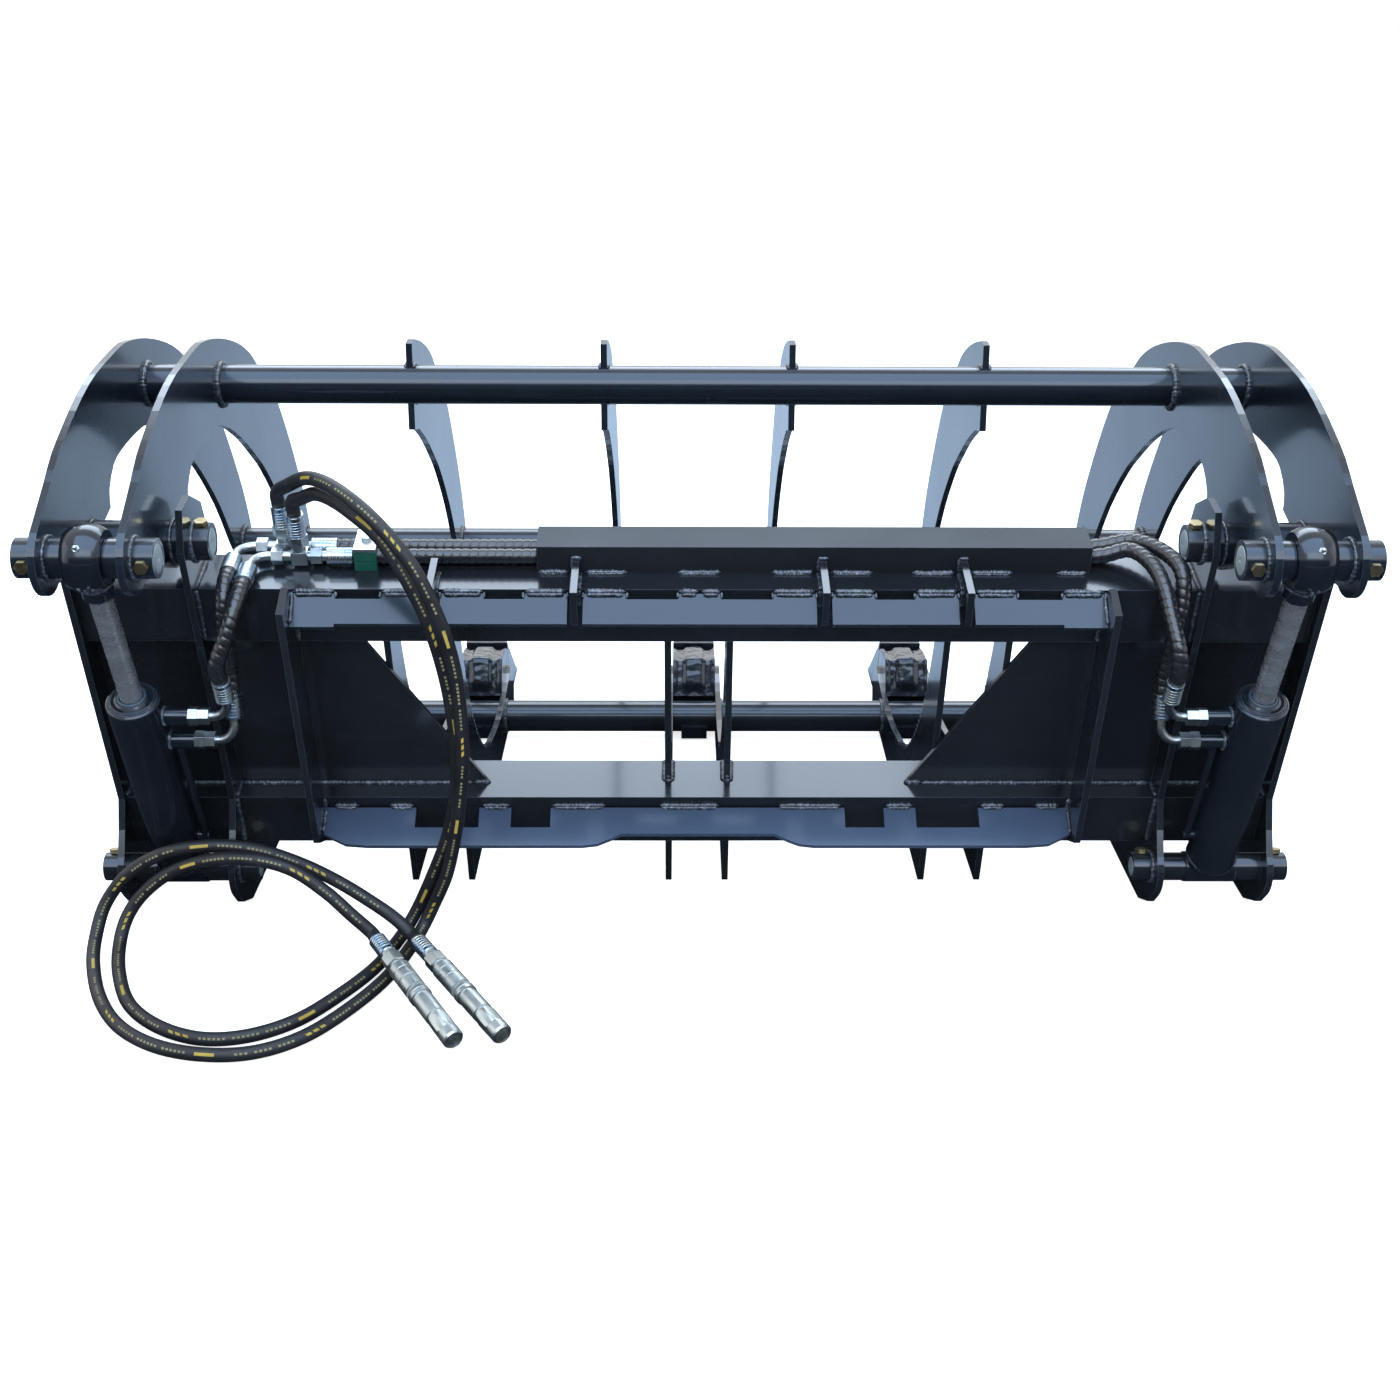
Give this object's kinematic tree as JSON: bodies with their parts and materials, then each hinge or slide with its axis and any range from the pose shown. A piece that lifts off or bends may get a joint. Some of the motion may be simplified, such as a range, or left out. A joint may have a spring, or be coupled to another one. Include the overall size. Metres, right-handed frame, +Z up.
{
  "type": "root rake grapple",
  "caption": "Skid steer root rake grapple: serrated lower tines on square cross beams, a hinged upper jaw with a hydraulic cylinder in each side bay, and hoses with couplers.",
  "frame": {"origin": "on the ground under the middle of the grapple without its free hoses, which stands on the flat undersides of its lower tines", "axes": "+X across the width, towards the right cylinder as seen from the loader; +Y forward from the loader towards the tine tips; +Z up"},
  "size_m": [1.844, 1.4416, 0.8617],
  "materials": {
    "frame_paint": "gloss black enamel over hot-rolled plate",
    "jaw_paint": "gloss black enamel",
    "tooth_paint": "gloss black enamel on cast teeth",
    "cylinder_paint": "gloss black enamel",
    "pin_steel": "grey plated pin ends",
    "rod_steel": "hard chrome, lightly dulled",
    "zinc": "bright zinc plating",
    "bolt_gold": "yellow zinc plating",
    "clamp_green": "moulded plastic",
    "hose_guard": "spiral plastic guard over a rubber hose",
    "hose_rubber": "rubber with a wrapped finish",
    "coupler_metal": "zinc plating"
  },
  "bodies": {
    "frame": {"upper_beam": "frame_paint", "lower_beam": "frame_paint", "side_plate_outer_left": "frame_paint", "side_plate_inner_left": "frame_paint", "side_plate_inner_right": "frame_paint", "side_plate_outer_right": "frame_paint", "tine_plate_1": "frame_paint", "tine_plate_2": "frame_paint", "tine_plate_3": "frame_paint", "tine_plate_4": "frame_paint", "tine_plate_5": "frame_paint", "tine_plate_6": "frame_paint", "cross_tube": "frame_paint", "tip_adapters": "frame_paint", "tip_teeth": "tooth_paint", "tooth_pins": "pin_steel", "back_panel_left": "frame_paint", "back_panel_right": "frame_paint", "bay_panels": "frame_paint", "upper_lip": "frame_paint", "lower_lip": "frame_paint", "end_plates": "frame_paint", "lip_gussets": "frame_paint", "hose_cover": "frame_paint", "frame_bosses": "frame_paint", "pivot_pins": "pin_steel", "base_pins": "pin_steel", "frame_pin_bolts": "bolt_gold", "hose_clamp": "clamp_green", "clamp_plate": "zinc", "tee_fittings": "zinc", "lines_left": "hose_guard", "lines_right": "hose_guard", "supply_hose_a": "hose_rubber", "supply_hose_b": "hose_rubber", "coupler_a": "coupler_metal", "coupler_b": "coupler_metal"},
    "jaw": {"arm_outer_left": "jaw_paint", "arm_inner_left": "jaw_paint", "arm_inner_right": "jaw_paint", "arm_outer_right": "jaw_paint", "jaw_top_tube": "jaw_paint", "jaw_nose_tube": "jaw_paint", "jaw_tines": "jaw_paint", "jaw_hubs": "jaw_paint", "jaw_bosses": "jaw_paint", "rod_pins": "pin_steel", "jaw_pin_bolts": "bolt_gold"},
    "barrel_left": {"barrel_left": "cylinder_paint", "gland_left": "cylinder_paint", "line_fittings_left": "zinc"},
    "rod_left": {"rod_left": "rod_steel"},
    "rod_eye_left": {"rod_eye_left": "cylinder_paint", "grease_nipple_left": "zinc"},
    "barrel_right": {"barrel_right": "cylinder_paint", "gland_right": "cylinder_paint", "line_fittings_right": "zinc"},
    "rod_right": {"rod_right": "rod_steel"},
    "rod_eye_right": {"rod_eye_right": "cylinder_paint", "grease_nipple_right": "zinc"}
  },
  "joints": [
    {"name": "jaw_hinge", "type": "hinge", "parent": "frame", "child": "jaw", "pos_m": [0, -0.42388, 0.63], "axis": [1, 0, 0], "range_deg": [0, 52]},
    {"name": "cylinder_left_swing", "type": "hinge", "parent": "frame", "child": "barrel_left", "pos_m": [-0.802, -0.36799, 0.08086], "axis": [1, 0, 0], "range_deg": [0, 2.6], "deforming": ["lines_left"]},
    {"name": "rod_left_slide", "type": "slide", "parent": "barrel_left", "child": "rod_left", "axis": [0, -0.3774, 0.926], "range_m": [-0.162, 0]},
    {"name": "rod_eye_left_swing", "type": "hinge", "parent": "jaw", "child": "rod_eye_left", "pos_m": [-0.802, -0.60616, 0.66521], "axis": [1, 0, 0], "range_deg": [-50, 0]},
    {"name": "cylinder_right_swing", "type": "hinge", "parent": "frame", "child": "barrel_right", "pos_m": [0.802, -0.36799, 0.08086], "axis": [1, 0, 0], "range_deg": [0, 2.6], "deforming": ["lines_right"]},
    {"name": "rod_right_slide", "type": "slide", "parent": "barrel_right", "child": "rod_right", "axis": [0, -0.3774, 0.926], "range_m": [-0.162, 0]},
    {"name": "rod_eye_right_swing", "type": "hinge", "parent": "jaw", "child": "rod_eye_right", "pos_m": [0.802, -0.60616, 0.66521], "axis": [1, 0, 0], "range_deg": [-50, 0]}
  ],
  "couplings": [
    {"joint": "cylinder_left_swing", "follows": "jaw_hinge", "ratio": 0.0473},
    {"joint": "rod_left_slide", "follows": "jaw_hinge", "m_per_rad": -0.1774},
    {"joint": "rod_eye_left_swing", "follows": "jaw_hinge", "ratio": -0.9527},
    {"joint": "cylinder_right_swing", "follows": "jaw_hinge", "ratio": 0.0473},
    {"joint": "rod_right_slide", "follows": "jaw_hinge", "m_per_rad": -0.1774},
    {"joint": "rod_eye_right_swing", "follows": "jaw_hinge", "ratio": -0.9527}
  ]
}
